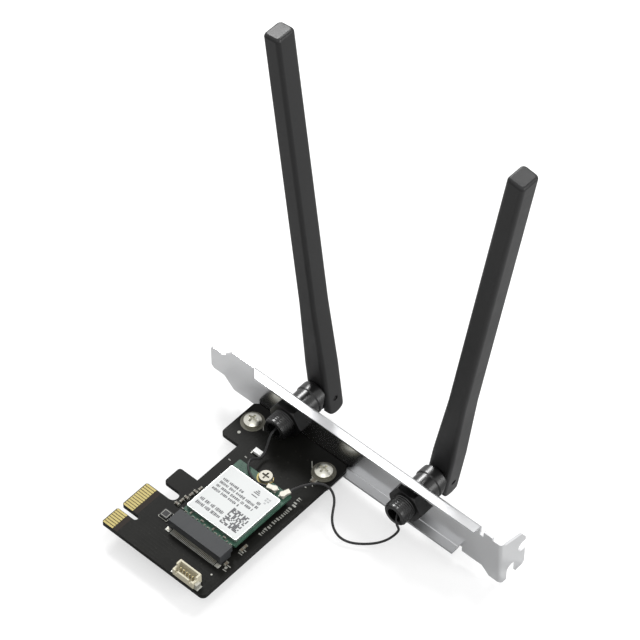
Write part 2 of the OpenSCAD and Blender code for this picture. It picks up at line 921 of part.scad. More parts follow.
module base(i) {
    top = base_y + base_h;
    r = base_d / 2;
    neck_end = base_y + neck_len;
    color("#262626")
        leaned(i)
            difference() {
                union() {
                    // a neck and a collar, scooped out where the blade's legs sweep
                    difference() {
                        turned([
                            [0, stem_end], [stem_d / 2, stem_end], [stem_d / 2, base_y],
                            [r - neck_in, base_y], [r - neck_in, neck_end], [r, neck_end + neck_in],
                            [r, collar_y - 0.5], [r - 0.5, collar_y], [0, collar_y]
                        ]);
                        translate([0, hinge_y, -pivot_drop])
                            rotate([0, 90, 0])
                                cylinder(r = leg_reach + fold_gap, h = base_d + 2, center = true);
                    }
                    // the tongue that the blade's legs straddle
                    translate([-tongue_t / 2, 0, 0])
                        rotate([90, 0, 90])
                            linear_extrude(tongue_t)
                                union() {
                                    translate([hinge_y, -pivot_drop])
                                        circle(r = hinge_r);
                                    polygon([
                                        [top - 1, -r + 0.5], [hinge_y, -pivot_drop - hinge_r],
                                        [hinge_y, -pivot_drop + hinge_r],
                                        [hinge_y - hinge_r, -pivot_drop + hinge_r], [top - 1, r - 1.6]
                                    ]);
                                }
                }
                translate([0, hinge_y, -pivot_drop])
                    rotate([0, 90, 0])
                        cylinder(d = pin_d + 2 * run_gap, h = tongue_t + 2, center = true);
                along_y(cable_bore / 2, stem_end - 1, top - 1);
            }
}

module left_base() { base(0); }

module right_base() { base(1); }

module hinge_pin(i) {
    color("#2e2e2e")
        folded(i)
            rotate([0, 90, 0])
                cylinder(d = pin_d, h = blade_w - 1, center = true);
}

module left_hinge_pin() { hinge_pin(0); }

module right_hinge_pin() { hinge_pin(1); }

// One ring of the blade at height z, a rectangle with round corners, seven points to a corner.
function blade_ring(w, t, r, z) = [for (corner = [0 : 3], k = [0 : 6])
    let (a = 90 * corner + 15 * k, sx = corner == 0 || corner == 3 ? 1 : -1, sy = corner < 2 ? 1 : -1)
    [sx * (w / 2 - r) + r * cos(a), sy * (t / 2 - r) + r * sin(a), z]];

// The blade's body through its rings, wide at the legs, slim past the flare, bevelled at the tip.
module blade_body() {
    rings = [
        blade_ring(blade_w, blade_t, blade_edge, -leg_reach - 0.5),
        blade_ring(blade_w, blade_t, blade_edge, flare_from),
        blade_ring((blade_w + blade_mid_w) / 2 - 0.15, blade_t, blade_edge, (flare_from + flare_to) / 2),
        blade_ring(blade_mid_w, blade_t, blade_edge, flare_to),
        blade_ring(blade_tip_w, blade_t, blade_edge, blade_len - tip_bevel * 1.3),
        blade_ring(blade_tip_w - 2 * tip_bevel, blade_t - 2 * tip_bevel, blade_edge - tip_bevel / 2, blade_len)
    ];
    n = len(rings[0]);
    last = len(rings) - 1;
    polyhedron([for (ring = rings) each ring], concat(
        [[for (k = [0 : n - 1]) k]],
        [for (i = [0 : last - 1], k = [0 : n - 1])
            [i * n + k, (i + 1) * n + k, (i + 1) * n + (k + 1) % n, i * n + (k + 1) % n]],
        [[for (k = [n - 1 : -1 : 0]) last * n + k]]));
}

module blade(i) {
    color("#1d1d1d")
        folded(i)
            difference() {
                blade_body();
                // the legs' ends are round
                translate([-blade_w, 0, 0])
                    rotate([90, 0, 90])
                        linear_extrude(2 * blade_w)
                            difference() {
                                translate([-blade_t, -leg_reach - 2])
                                    square([2 * blade_t, leg_round + 2]);
                                translate([0, leg_round - leg_reach])
                                    circle(r = leg_round);
                            }
                // room for the base's tongue, far enough above the hinge to clear it at every fold
                translate([-gap_w / 2, -blade_t, -leg_reach - 1])
                    cube([gap_w, 2 * blade_t, leg_reach + 1 + hinge_r + tongue_gap]);
                rotate([0, 90, 0])
                    cylinder(d = pin_d + 0.04, h = blade_w + 2, center = true);
            }
}

module left_blade() { blade(0); }

module right_blade() { blade(1); }

// Cables

left_route = [
    [antenna_x, stem_end + 9, plate_mid],
    [antenna_x, stem_end + 4.5, plate_mid],
    [antenna_x, stem_end - 0.5, plate_mid],
    [19.22, 49.4, 7],
    [19.5, 47.6, 5.7],
    [20, 46, 4.1],
    [20.4, 44.4, 2.9],
    [20.6, 42.8, 2.4],
    [20.5, 41.2, 2.8],
    [20.2, 39.7, 3.8],
    [20.2, 38.2, 4.7],
    [20.9, 36.5, 5],
    [22.2, 35, 4.85],
    [24, 34, 4.5],
    [25.8, 33.5, 4.35],
    [27.6, 33.3, 4.35],
    [29.3, 33.5, 4.5],
    [30.88, 34.08, 4.665]
];

right_route = [
    [antenna_x + antenna_pitch, stem_end + 9, plate_mid],
    [antenna_x + antenna_pitch, stem_end + 4.5, plate_mid],
    [antenna_x + antenna_pitch, stem_end + 0.3, plate_mid],
    [69.32, 52, 7.42],
    [69.75, 50.9, 6.95],
    [70.4, 49.85, 6.25],
    [71.2, 49.35, 5.2],
    [71.68, 49.38, 4.22],
    [71.78, 49.5, 3.17],
    [71.45, 49.3, 1.83],
    [70.67, 48.28, 0.13],
    [69.25, 46.55, -1.6],
    [67.03, 44.47, -3],
    [63.96, 42.15, -3.9],
    [60.72, 40.19, -4.24],
    [57.85, 39.18, -3.95],
    [55.42, 39.1, -3.09],
    [53.39, 39.77, -1.83],
    [51.87, 41.02, -0.37],
    [50.8, 42.63, 1.11],
    [49.87, 44.22, 2.47],
    [48.54, 45.48, 3.79],
    [46.62, 46.11, 4.98],
    [44.45, 45.72, 5.67],
    [42.31, 44.37, 5.8],
    [40.42, 42.39, 5.51],
    [38.94, 40.26, 5.06],
    [37.98, 38.47, 4.72],
    [37.62, 37.37, 4.665]
];

module left_pigtail() {
    color("#1b1b1b")
        tube(left_route, cable_r);
}

module right_pigtail() {
    color("#1b1b1b")
        tube(right_route, cable_r);
}

bracket();
circuit_board();
edge_contacts();
screw_pads();
left_board_screw();
right_board_screw();
module_board();
module_contacts();
shield_can();
module_label();
module_parts();
antenna_jacks();
left_plug();
right_plug();
left_pigtail();
right_pigtail();
socket_housing();
socket_contacts();
socket_tabs();
header_housing();
header_pins();
header_tabs();
module_standoff();
module_screw();
chip_parts();
regulator_chip();
indicator_led();
left_bushing();
right_bushing();
left_nut();
right_nut();
left_base();
right_base();
left_hinge_pin();
right_hinge_pin();
left_blade();
right_blade();
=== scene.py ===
import json
import math
import random

import bmesh
import bpy
from mathutils import Matrix, Vector


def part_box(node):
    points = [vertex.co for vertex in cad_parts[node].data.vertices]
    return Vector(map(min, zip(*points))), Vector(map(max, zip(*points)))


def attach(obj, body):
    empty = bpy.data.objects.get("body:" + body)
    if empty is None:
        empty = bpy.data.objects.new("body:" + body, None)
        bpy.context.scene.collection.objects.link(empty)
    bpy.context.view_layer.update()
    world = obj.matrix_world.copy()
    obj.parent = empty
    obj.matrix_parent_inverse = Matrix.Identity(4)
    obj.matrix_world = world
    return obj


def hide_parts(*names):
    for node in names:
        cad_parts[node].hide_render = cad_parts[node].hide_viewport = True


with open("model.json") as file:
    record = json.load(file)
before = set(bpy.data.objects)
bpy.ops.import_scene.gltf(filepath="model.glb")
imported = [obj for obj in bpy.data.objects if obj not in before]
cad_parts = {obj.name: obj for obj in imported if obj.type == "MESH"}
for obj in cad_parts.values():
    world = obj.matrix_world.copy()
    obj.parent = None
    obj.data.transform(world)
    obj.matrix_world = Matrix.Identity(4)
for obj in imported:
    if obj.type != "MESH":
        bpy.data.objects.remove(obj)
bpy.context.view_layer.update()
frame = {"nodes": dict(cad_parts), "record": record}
MM = 0.001
SIDES = ("left", "right")
NODES = frame["nodes"]
NODE_BODY = {node: body for body, nodes in frame["record"]["behaviour"]["bodies"].items()
             for node in nodes}
NODE_SLOT = {part["node"]: part["material_slot"] for part in frame["record"]["subparts"]}


def mm(*values):
    """A vector in metres from values in millimetres."""
    return Vector([value * MM for value in values])


# The view, which comes first

CAMERA_AT = mm(448.0, -406.7, 801.2)
CAMERA_AIM = mm(17.0, 74.3, 38.2)
CAMERA_LENS = 180.8
CAMERA_SENSOR = 36
CAMERA_NEAR = 0.05
CAMERA_FAR = 20


def place_aimed(name, data, place, aim):
    """A camera or a lamp at a place, turned towards its aim."""
    thing = bpy.data.objects.new(name, data)
    bpy.context.collection.objects.link(thing)
    thing.location = place
    thing.rotation_euler = (aim - place).to_track_quat("-Z", "Y").to_euler()
    return thing


def make_camera():
    """The camera that was fitted to the photograph."""
    data = bpy.data.cameras.new("view_camera")
    data.lens = CAMERA_LENS
    data.sensor_width = CAMERA_SENSOR
    data.clip_start = CAMERA_NEAR
    data.clip_end = CAMERA_FAR
    bpy.context.scene.camera = place_aimed("view_camera", data, CAMERA_AT, CAMERA_AIM)


make_camera()

# Sizes of the part in millimetres, most of them read from its nodes


def node_low(node, axis):
    """Where a CAD node starts along x, y or z at rest, in millimetres."""
    return round(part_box(node)[0]["xyz".index(axis)] / MM, 4)


def node_high(node, axis):
    """Where a CAD node ends along x, y or z at rest, in millimetres."""
    return round(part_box(node)[1]["xyz".index(axis)] / MM, 4)


def node_middle(node, axis):
    """The middle of a CAD node along x, y or z at rest, in millimetres."""
    return (node_low(node, axis) + node_high(node, axis)) / 2


BOARD_TOP = node_high("circuit_board", "z")
BOARD_EDGE = node_high("circuit_board", "y")
CHIP_TOP = node_high("regulator_chip", "z")
SCREW_XS = {side: node_middle(side + "_board_screw", "x") for side in SIDES}
SCREW_Y = node_middle("left_board_screw", "y")
MODULE_TOP = node_high("module_board", "z")
LABEL_TOP = node_high("module_label", "z")
SHEET = 0.86
PLATE_IN = node_high("left_nut", "y")
PLATE_OUT = PLATE_IN + SHEET
ANTENNA_XS = {side: node_middle(side + "_bushing", "x") for side in SIDES}
ANTENNA_Z = node_middle("left_bushing", "z")
BUSHING_TIP = node_low("left_bushing", "y")
BUSHING_R = 4.25
BUSHING_BORE_R = 2.5
FLANGE_END = node_high("left_bushing", "y")
FLANGE_R = (node_high("left_bushing", "x") - node_low("left_bushing", "x")) / 2
CABLE_D = 0.81

# Cables

LEFT_ROUTE = [
    (19.2, 62.0, 7.565), (19.2, 57.5, 7.565), (19.2, 52.5, 7.565),
    (19.22, 49.4, 7), (19.5, 47.6, 5.7), (20, 46, 4.1), (20.4, 44.4, 2.9),
    (20.6, 42.8, 2.4), (20.5, 41.2, 2.8), (20.2, 39.7, 3.8), (20.2, 38.2, 4.7),
    (20.9, 36.5, 5), (22.2, 35, 4.85), (24, 34, 4.5), (25.8, 33.5, 4.35),
    (27.6, 33.3, 4.35), (29.3, 33.5, 4.5), (30.88, 34.08, 4.665),
]
RIGHT_ROUTE = [
    (69.2, 62.0, 7.565), (69.2, 57.5, 7.565), (69.2, 53.3, 7.565),
    (69.32, 52, 7.42), (69.75, 50.9, 6.95), (70.4, 49.85, 6.25), (71.2, 49.35, 5.2),
    (71.68, 49.38, 4.22), (71.78, 49.5, 3.17), (71.45, 49.3, 1.83), (70.67, 48.28, 0.13),
    (69.25, 46.55, -1.6), (67.03, 44.47, -3), (63.96, 42.15, -3.9), (60.72, 40.19, -4.24),
    (57.85, 39.18, -3.95), (55.42, 39.1, -3.09), (53.39, 39.77, -1.83), (51.87, 41.02, -0.37),
    (50.8, 42.63, 1.11), (49.87, 44.22, 2.47), (48.54, 45.48, 3.79), (46.62, 46.11, 4.98),
    (44.45, 45.72, 5.67), (42.31, 44.37, 5.8), (40.42, 42.39, 5.51), (38.94, 40.26, 5.06),
    (37.98, 38.47, 4.72), (37.62, 37.37, 4.665),
]


def cable_curve(name, route):
    """A round cable along the same smooth curve through the route's points as the part's."""
    data = bpy.data.curves.new(name, "CURVE")
    data.dimensions = "3D"
    data.resolution_u = 8
    # each knot's radius scales a bevel of one metre, which keeps the curve's own box tight
    data.bevel_depth = 1.0
    data.bevel_resolution = 4
    data.use_fill_caps = True
    spline = data.splines.new("BEZIER")
    spline.bezier_points.add(len(route) - 1)
    points = [mm(*point) for point in route]
    for i, point in enumerate(points):
        after, before = points[min(i + 1, len(points) - 1)], points[max(i - 1, 0)]
        # a sixth of the way between the neighbours gives the part's own smooth curve
        reach = (after - before) / 6
        knot = spline.bezier_points[i]
        knot.co, knot.handle_left, knot.handle_right = point, point - reach, point + reach
        knot.radius = CABLE_D / 2 * MM
    cable = bpy.data.objects.new(name, data)
    bpy.context.collection.objects.link(cable)
    return cable


def make_cable(side, route):
    """One antenna's cable, which stays with the card."""
    cable = cable_curve(side + "_antenna_cable", route)
    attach(cable, "card")
    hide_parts(side + "_pigtail")
    return cable


CABLES = {side: (make_cable(side, route), route)
          for side, route in (("left", LEFT_ROUTE), ("right", RIGHT_ROUTE))}

# Finishes

NOISE_LOW = 0.3
NOISE_HIGH = 0.7


def new_group(name, inputs, outputs):
    """An empty shader group with number, colour or vector sockets, and its two end nodes."""
    group = bpy.data.node_groups.new(name, "ShaderNodeTree")
    for label, kind, value in inputs:
        socket = group.interface.new_socket(label, in_out="INPUT", socket_type="NodeSocket" + kind)
        if value is not None:
            socket.default_value = value
    for label, kind in outputs:
        group.interface.new_socket(label, in_out="OUTPUT", socket_type="NodeSocket" + kind)
    return group, group.nodes.new("NodeGroupInput"), group.nodes.new("NodeGroupOutput")


def add_node(tree, kind, settings=None, **values):
    """A node of a tree with its settings and the values of its input sockets."""
    node = tree.nodes.new(kind)
    for key, value in (settings or {}).items():
        setattr(node, key, value)
    for key, value in values.items():
        node.inputs[key.replace("_", " ")].default_value = value
    return node


def math_node(tree, operation, first, second):
    """A Math node's result; each operand is an output socket or a number."""
    node = add_node(tree, "ShaderNodeMath", {"operation": operation})
    for socket, operand in zip(node.inputs, (first, second)):
        if isinstance(operand, bpy.types.NodeSocket):
            tree.links.new(operand, socket)
        else:
            socket.default_value = operand
    return node.outputs[0]


def scaled_color(tree, color, factor):
    """A colour socket times a number socket."""
    node = add_node(tree, "ShaderNodeVectorMath", {"operation": "SCALE"})
    tree.links.new(color, node.inputs[0])
    tree.links.new(factor, node.inputs["Scale"])
    return node.outputs["Vector"]


def spread_noise(tree, noise, low, high):
    """A noise's middle range spread between the values of two sockets."""
    node = add_node(tree, "ShaderNodeMapRange", From_Min=NOISE_LOW, From_Max=NOISE_HIGH)
    tree.links.new(noise, node.inputs["Value"])
    tree.links.new(low, node.inputs["To Min"])
    tree.links.new(high, node.inputs["To Max"])
    return node.outputs["Result"]


def build_patches():
    """Soft patches and fine specks that vary a colour and a roughness over the surface."""
    fine_ratio = 9.0
    fine_share = 0.3
    group, start, end = new_group(
        "soft_patches",
        [("Vector", "Vector", None), ("Color", "Color", (1, 1, 1, 1)), ("Dark", "Float", 0.9),
         ("Light", "Float", 1.1), ("Scale", "Float", 200.0), ("Rough Low", "Float", 0.3),
         ("Rough High", "Float", 0.4)],
        [("Color", "Color"), ("Roughness", "Float")])
    link = group.links.new
    broad = add_node(group, "ShaderNodeTexNoise", Detail=3.0, Roughness=0.6)
    fine = add_node(group, "ShaderNodeTexNoise", Detail=2.0, Roughness=0.5)
    link(start.outputs["Vector"], broad.inputs["Vector"])
    link(start.outputs["Vector"], fine.inputs["Vector"])
    link(start.outputs["Scale"], broad.inputs["Scale"])
    link(math_node(group, "MULTIPLY", start.outputs["Scale"], fine_ratio), fine.inputs["Scale"])
    mask = math_node(group, "ADD", math_node(group, "MULTIPLY", broad.outputs["Fac"], 1 - fine_share),
                     math_node(group, "MULTIPLY", fine.outputs["Fac"], fine_share))
    shade = spread_noise(group, mask, start.outputs["Dark"], start.outputs["Light"])
    rough = spread_noise(group, mask, start.outputs["Rough Low"], start.outputs["Rough High"])
    link(scaled_color(group, start.outputs["Color"], shade), end.inputs["Color"])
    link(rough, end.inputs["Roughness"])
    return group


def build_grain():
    """Fine moulded or rolled grain as a height, stretched by a scale for each axis."""
    group, start, end = new_group(
        "surface_grain", [("Vector", "Vector", None), ("Stretch", "Vector", (1, 1, 1)),
                          ("Scale", "Float", 2000.0)], [("Height", "Float")])
    link = group.links.new
    place = add_node(group, "ShaderNodeVectorMath", {"operation": "MULTIPLY"})
    link(start.outputs["Vector"], place.inputs[0])
    link(start.outputs["Stretch"], place.inputs[1])
    noise = add_node(group, "ShaderNodeTexNoise", Detail=4.0, Roughness=0.65)
    link(place.outputs["Vector"], noise.inputs["Vector"])
    link(start.outputs["Scale"], noise.inputs["Scale"])
    link(noise.outputs["Fac"], end.inputs["Height"])
    return group


def build_traces():
    """Copper traces under a solder mask: straight raised lanes that change course by cells."""
    lane_ratio = 0.18
    lane_gap = 0.72
    bare_share = 0.45
    group, start, end = new_group(
        "trace_lanes", [("Vector", "Vector", None), ("Pitch", "Float", 1400.0)],
        [("Height", "Float")])
    link = group.links.new
    cells = add_node(group, "ShaderNodeTexVoronoi", {"distance": "CHEBYCHEV"}, Scale=120.0)
    link(start.outputs["Vector"], cells.inputs["Vector"])
    pick = add_node(group, "ShaderNodeSeparateColor")
    link(cells.outputs["Color"], pick.inputs["Color"])
    lanes = []
    for axis in ("X", "Y"):
        wave = add_node(group, "ShaderNodeTexWave", {"bands_direction": axis}, Distortion=0.0)
        link(start.outputs["Vector"], wave.inputs["Vector"])
        link(math_node(group, "MULTIPLY", start.outputs["Pitch"], lane_ratio), wave.inputs["Scale"])
        lanes.append(math_node(group, "GREATER_THAN", wave.outputs["Fac"], lane_gap))
    turn = math_node(group, "GREATER_THAN", pick.outputs["Red"], 0.5)
    back = math_node(group, "SUBTRACT", 1.0, turn)
    both = math_node(group, "ADD", math_node(group, "MULTIPLY", lanes[0], turn),
                     math_node(group, "MULTIPLY", lanes[1], back))
    filled = math_node(group, "GREATER_THAN", pick.outputs["Green"], bare_share)
    link(math_node(group, "MULTIPLY", both, filled), end.inputs["Height"])
    return group


PATCHES = build_patches()
GRAIN = build_grain()
TRACES = build_traces()


def add_relief(tree, where, relief, depth, normal):
    """A bump of a depth in millimetres from a relief group, over an earlier normal if any."""
    tree.links.new(where.outputs["Object"], relief.inputs["Vector"])
    bump = add_node(tree, "ShaderNodeBump", Strength=1.0, Distance=depth * MM)
    tree.links.new(relief.outputs["Height"], bump.inputs["Height"])
    if normal is not None:
        tree.links.new(normal, bump.inputs["Normal"])
    return bump.outputs["Normal"]


def finish(name, color, rough, metallic=0.0, vary=0.08, scale=200.0, specular=0.5, grain=None,
           traces=None):
    """A finish with patches of tone and gloss, and a relief where one is given.

    The grain is (scale, depth in mm, stretch) and the traces are (pitch, depth in mm).
    """
    made = bpy.data.materials.new(name)
    made.use_nodes = True
    tree = made.node_tree
    shader = tree.nodes["Principled BSDF"]
    shader.inputs["Metallic"].default_value = metallic
    shader.inputs["Specular IOR Level"].default_value = specular
    where = add_node(tree, "ShaderNodeTexCoord")
    patches = add_node(tree, "ShaderNodeGroup", {"node_tree": PATCHES}, Color=(*color, 1),
                       Dark=1 - vary, Light=1 + vary, Scale=scale, Rough_Low=rough[0],
                       Rough_High=rough[1])
    tree.links.new(where.outputs["Object"], patches.inputs["Vector"])
    tree.links.new(patches.outputs["Color"], shader.inputs["Base Color"])
    tree.links.new(patches.outputs["Roughness"], shader.inputs["Roughness"])
    normal = None
    if grain:
        grain_scale, depth, stretch = grain
        relief = add_node(tree, "ShaderNodeGroup", {"node_tree": GRAIN}, Scale=grain_scale,
                          Stretch=stretch)
        normal = add_relief(tree, where, relief, depth, normal)
    if traces:
        pitch, depth = traces
        relief = add_node(tree, "ShaderNodeGroup", {"node_tree": TRACES}, Pitch=pitch)
        normal = add_relief(tree, where, relief, depth, normal)
    if normal is not None:
        tree.links.new(normal, shader.inputs["Normal"])
    return made


EVEN = (1, 1, 1)
FINISHES = {
    "zinc_sheet": finish("zinc_sheet", (0.80, 0.805, 0.815), (0.17, 0.23), metallic=1.0, vary=0.03,
                         scale=60.0, grain=(2600.0, 0.0006, (0.12, 1, 1))),
    "solder_mask_black": finish("solder_mask_black", (0.0085, 0.0085, 0.0075), (0.26, 0.36),
                                vary=0.14, scale=120.0, specular=0.06, traces=(1400.0, 0.004)),
    "gold_plating": finish("gold_plating", (0.235, 0.195, 0.075), (0.42, 0.52), metallic=0.75,
                           vary=0.1, scale=500.0),
    "tinned_plating": finish("tinned_plating", (0.46, 0.45, 0.40), (0.4, 0.52), metallic=0.7,
                             vary=0.14, scale=700.0, grain=(5000.0, 0.004, EVEN)),
    "screw_steel": finish("screw_steel", (0.66, 0.65, 0.58), (0.26, 0.36), metallic=1.0, vary=0.08,
                          scale=500.0, grain=(3000.0, 0.002, EVEN)),
    "solder_mask_green": finish("solder_mask_green", (0.028, 0.075, 0.05), (0.25, 0.35),
                                vary=0.2, scale=450.0, specular=0.2, traces=(2400.0, 0.004)),
    "tinned_steel": finish("tinned_steel", (0.62, 0.63, 0.62), (0.28, 0.4), metallic=0.95,
                           vary=0.06, scale=200.0, grain=(2600.0, 0.001, (0.15, 1, 1))),
    "label_paper": finish("label_paper", (0.56, 0.573, 0.568), (0.4, 0.5), vary=0.015, scale=150.0,
                          specular=0.3, grain=(4000.0, 0.001, EVEN)),
    "chip_body": finish("chip_body", (0.12, 0.10, 0.075), (0.45, 0.6), vary=0.2, scale=900.0,
                        grain=(6000.0, 0.004, EVEN)),
    "chip_black": finish("chip_black", (0.014, 0.014, 0.015), (0.45, 0.6), vary=0.1, scale=600.0,
                         specular=0.3, grain=(6000.0, 0.006, EVEN)),
    "led_white": finish("led_white", (0.80, 0.81, 0.79), (0.3, 0.4), vary=0.03, scale=500.0),
    "cable_black": finish("cable_black", (0.017, 0.017, 0.0175), (0.38, 0.48), vary=0.1,
                          scale=400.0, specular=0.26, grain=(3000.0, 0.003, EVEN)),
    "socket_plastic": finish("socket_plastic", (0.034, 0.036, 0.038), (0.42, 0.54), vary=0.08,
                             scale=300.0, specular=0.2, grain=(4000.0, 0.005, EVEN)),
    "header_plastic": finish("header_plastic", (0.52, 0.485, 0.365), (0.42, 0.52), vary=0.05,
                             scale=350.0, grain=(4000.0, 0.004, EVEN)),
    "header_brass": finish("header_brass", (0.42, 0.34, 0.17), (0.3, 0.42), metallic=1.0,
                           vary=0.12, scale=600.0),
    "antenna_black": finish("antenna_black", (0.003, 0.003, 0.003), (0.24, 0.32), vary=0.1,
                            scale=150.0, specular=0.6, grain=(2500.0, 0.003, EVEN)),
    "nut_black": finish("nut_black", (0.003, 0.003, 0.003), (0.30, 0.38), vary=0.15, scale=200.0,
                        specular=0.4, grain=(2500.0, 0.003, EVEN)),
    "blade_black": finish("blade_black", (0.009, 0.009, 0.0093), (0.4, 0.48), vary=0.06,
                          scale=60.0, specular=0.34, grain=(3200.0, 0.005, EVEN)),
}
PRINT_GREY = finish("print_grey", (0.065, 0.065, 0.07), (0.5, 0.6), vary=0.25, scale=1200.0)
PRINT_PALE = finish("print_pale", (0.34, 0.35, 0.355), (0.5, 0.6), vary=0.2, scale=1200.0)
SILK_WHITE = finish("silk_white", (0.42, 0.42, 0.38), (0.5, 0.6), vary=0.2, scale=900.0)
SILK_DIM = finish("silk_dim", (0.26, 0.26, 0.235), (0.5, 0.6), vary=0.35, scale=900.0)
VIA_DARK = finish("via_dark", (0.013, 0.013, 0.011), (0.5, 0.6), vary=0.2, scale=900.0,
                  specular=0.1)
BARE_FIBRE = finish("bare_fibre", (0.020, 0.015, 0.012), (0.5, 0.6), vary=0.2, scale=700.0,
                    specular=0.1)
PAD_DULL = finish("pad_dull", (0.13, 0.125, 0.10), (0.45, 0.6), metallic=0.5, vary=0.2,
                  scale=500.0, grain=(4000.0, 0.006, EVEN))
SOLDER = finish("solder", (0.42, 0.42, 0.39), (0.38, 0.5), metallic=0.6, vary=0.14, scale=900.0,
                grain=(4000.0, 0.005, EVEN))
CAP_DULL = finish("cap_dull", (0.19, 0.19, 0.165), (0.45, 0.6), metallic=0.5, vary=0.2, scale=900.0)
CAP_CREAM = finish("cap_cream", (0.40, 0.385, 0.335), (0.42, 0.52), metallic=0.5, vary=0.1,
                   scale=700.0, grain=(5000.0, 0.004, EVEN))
SCREW_DULL = finish("screw_dull", (0.27, 0.26, 0.225), (0.42, 0.52), metallic=0.9, vary=0.1,
                    scale=500.0, grain=(3000.0, 0.002, EVEN))

LIP_START = 3.4
# for the upper and the lower lip: the side of a height, where it ends, how much rougher, and how much
# painted shade darkens it
LIPS = (("GREATER_THAN", 16.3, 96.4, 0.12, 0.32),
        ("LESS_THAN", -0.7, 88.4, 0.28, 0.34))


def roughen_and_shade_lips(material):
    """A rougher finish on the bracket's two lips, and a painted shade that darkens their colour."""
    tree = material.node_tree
    shader = tree.nodes["Principled BSDF"]
    where = add_node(tree, "ShaderNodeTexCoord")
    split = add_node(tree, "ShaderNodeSeparateXYZ")
    tree.links.new(where.outputs["Object"], split.inputs["Vector"])
    started = math_node(tree, "GREATER_THAN", split.outputs["X"], LIP_START * MM)
    rougher = 0.0
    painted_shade = 0.0
    for beyond, height, end, rough_step, shade_step in LIPS:
        on_lip = math_node(tree, beyond, split.outputs["Z"], height * MM)
        not_past = math_node(tree, "LESS_THAN", split.outputs["X"], end * MM)
        on_lip = math_node(tree, "MULTIPLY", math_node(tree, "MULTIPLY", on_lip, started), not_past)
        rougher = math_node(tree, "ADD", rougher, math_node(tree, "MULTIPLY", on_lip, rough_step))
        painted_shade = math_node(tree, "ADD", painted_shade, math_node(tree, "MULTIPLY", on_lip, shade_step))
    rough = shader.inputs["Roughness"].links[0].from_socket
    tree.links.new(math_node(tree, "ADD", rough, rougher), shader.inputs["Roughness"])
    color = shader.inputs["Base Color"].links[0].from_socket
    # painted shade: the lips' colour is scaled down, so that their reflections look dimmer under the
    # lamps
    shade = math_node(tree, "SUBTRACT", 1.0, painted_shade)
    tree.links.new(scaled_color(tree, color, shade), shader.inputs["Base Color"])


# the bracket's lips get a rougher finish and a painted shade
roughen_and_shade_lips(FINISHES["zinc_sheet"])

for node, piece in NODES.items():
    piece.data.materials.clear()
    piece.data.materials.append(FINISHES[NODE_SLOT[node]])
NODES["screw_pads"].data.materials[0] = PAD_DULL
for cable, _ in CABLES.values():
    cable.data.materials.append(FINISHES["cable_black"])

# Making pieces

MERGE_GAP = 0.004
FLAT_ANGLE = 0.6
KEEN_ANGLE = 35.0
SHARP_ANGLE = 50.0


def corner_normals(bm):
    """Normals led by the largest faces, so that a flat beside a round edge is shaded flat."""
    areas = {face: face.calc_area() for face in bm.faces}
    least = math.cos(math.radians(SHARP_ANGLE))
    normals = []
    for face in bm.faces:
        for loop in face.loops:
            around = [other for other in loop.vert.link_faces
                      if face.normal.dot(other.normal) > least]
            total = sum((other.normal * areas[other] for other in around), Vector())
            normals.append(total.normalized() if total.length > 0 else face.normal.copy())
    return normals


def make_piece(name, bm, body, slot, material=None):
    """A finished piece from a bmesh in the part's own frame, in metres, riding on a body."""
    bmesh.ops.recalc_face_normals(bm, faces=bm.faces[:])
    for edge in bm.edges:
        edge.smooth = (len(edge.link_faces) == 2
                       and edge.calc_face_angle(0) < math.radians(SHARP_ANGLE))
    for face in bm.faces:
        face.smooth = True
    normals = corner_normals(bm)
    mesh = bpy.data.meshes.new(name)
    bm.to_mesh(mesh)
    bm.free()
    mesh.normals_split_custom_set(normals)
    mesh.materials.append(material or FINISHES[slot])
    piece = bpy.data.objects.new(name, mesh)
    bpy.context.collection.objects.link(piece)
    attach(piece, body)
    return piece


def node_shape(node):
    """A CAD node's own solid as a bmesh, with its loose triangles merged to whole faces."""
    bm = bmesh.new()
    bm.from_mesh(NODES[node].data)
    bmesh.ops.remove_doubles(bm, verts=bm.verts[:], dist=MERGE_GAP * MM)
    bmesh.ops.dissolve_limit(bm, angle_limit=math.radians(FLAT_ANGLE), verts=bm.verts[:],
                             edges=bm.edges[:])
    return bm


def keen_edges(bm, angle=KEEN_ANGLE):
    """The edges of a bmesh that turn by more than an angle in degrees."""
    return [edge for edge in bm.edges if len(edge.link_faces) == 2
            and edge.calc_face_angle(0) > math.radians(angle)]


def round_edges(bm, edges, width, segments=2):
    """Rounds some edges of a bmesh by a width in millimetres."""
    bmesh.ops.bevel(bm, geom=edges, offset=width * MM, offset_type="OFFSET", affect="EDGES",
                    segments=segments, profile=0.5, material=-1, clamp_overlap=True)


def refine(node, name, width, segments=2):
    """The CAD node's own solid with its edges rounded and shaded, in its place."""
    bm = node_shape(node)
    round_edges(bm, keen_edges(bm), width, segments)
    piece = make_piece(name, bm, NODE_BODY[node], NODE_SLOT[node])
    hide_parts(node)
    return piece


def add_box(bm, low, high):
    """A box between two corners in millimetres, added to a bmesh."""
    low, high = Vector(low), Vector(high)
    place = Matrix.Translation((low + high) / 2 * MM) @ Matrix.Diagonal((*((high - low) * MM), 1))
    bmesh.ops.create_cube(bm, size=1, matrix=place)


def add_slab(bm, centre, size, low, high):
    """An upright box over the rectangle of a size, (along x, along y), about a centre."""
    x, y = centre
    w, d = size[0] / 2, size[1] / 2
    add_box(bm, (x - w, y - d, low), (x + w, y + d, high))


def add_plate(bm, outline, low, high):
    """A flat shape with corners [x, y] from height low to height high, in millimetres."""
    face = bm.faces.new([bm.verts.new(mm(x, y, low)) for x, y in outline])
    lifted = bmesh.ops.extrude_face_region(bm, geom=[face])["geom"]
    bmesh.ops.translate(bm, vec=mm(0, 0, high - low),
                        verts=[item for item in lifted if isinstance(item, bmesh.types.BMVert)])


